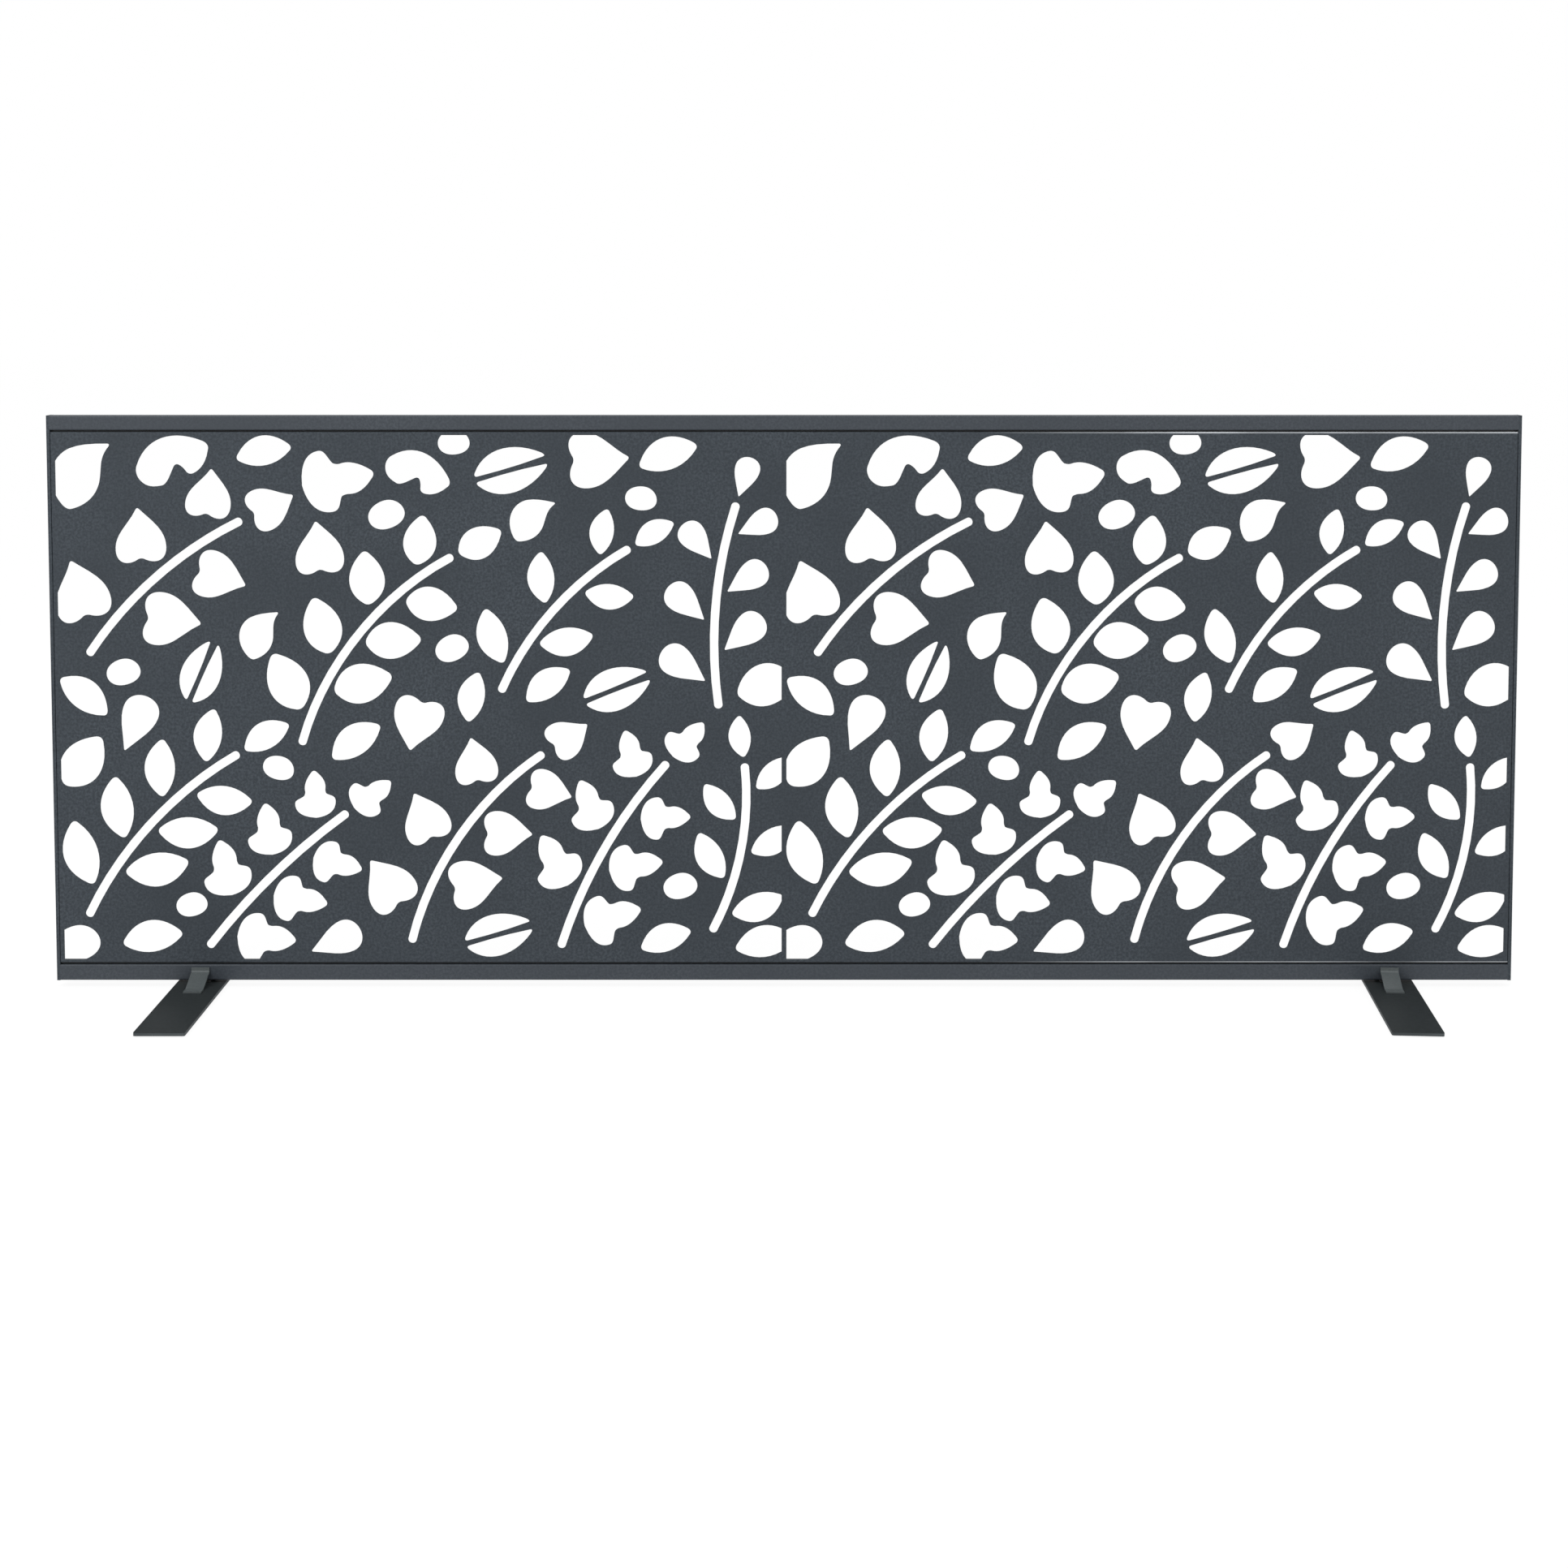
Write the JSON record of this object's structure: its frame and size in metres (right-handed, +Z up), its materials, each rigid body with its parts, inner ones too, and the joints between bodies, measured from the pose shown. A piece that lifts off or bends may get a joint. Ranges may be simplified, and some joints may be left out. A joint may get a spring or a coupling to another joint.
{
  "type": "decorative screen panel",
  "caption": "Low free-standing metal screen: a foliage cut-out sheet in a slim frame, held upright by flat feet that clip onto its bottom rail.",
  "frame": {"origin": "on the floor, in the middle of the panel's width and of the feet's reach from front to rear", "axes": "+X along the panel to the right seen from the front, -Y towards the front, +Z up"},
  "size_m": [1.8, 0.3182, 0.7085],
  "materials": {
    "sheet_coat": "fine-texture powder coat, anthracite",
    "rail_coat": "fine-texture powder coat, anthracite",
    "foot_coat": "smooth semi-gloss powder coat, dark grey",
    "plug_metal": "plain extruded",
    "fastener": "black zinc",
    "spacer": "black sealing strip",
    "rivet": "lacquered dark",
    "pad_rubber": "matt"
  },
  "bodies": {
    "panel": {"screen_sheet": "sheet_coat", "top_rail": "rail_coat", "bottom_rail": "rail_coat", "left_side_bar": "rail_coat", "right_side_bar": "rail_coat", "top_rail_plugs": "plug_metal", "bottom_rail_plugs": "plug_metal", "left_frame_screws": "fastener", "right_frame_screws": "fastener", "top_strip": "spacer", "bottom_strip": "spacer", "top_rivets": "rivet", "bottom_rivets": "rivet", "left_rivets": "rivet", "right_rivets": "rivet"},
    "left_foot": {"left_base_plate": "foot_coat", "left_front_clip": "foot_coat", "left_rear_clip": "foot_coat", "left_seat_pad": "pad_rubber", "left_floor_pads": "pad_rubber", "left_clip_screws": "fastener"},
    "right_foot": {"right_base_plate": "foot_coat", "right_front_clip": "foot_coat", "right_rear_clip": "foot_coat", "right_seat_pad": "pad_rubber", "right_floor_pads": "pad_rubber", "right_clip_screws": "fastener"}
  },
  "joints": [
    {"name": "left_foot_slide", "type": "slide", "parent": "panel", "child": "left_foot", "axis": [1, 0, 0], "range_m": [-0.148, 0.6]},
    {"name": "right_foot_slide", "type": "slide", "parent": "panel", "child": "right_foot", "axis": [1, 0, 0], "range_m": [-0.6, 0.1]}
  ]
}
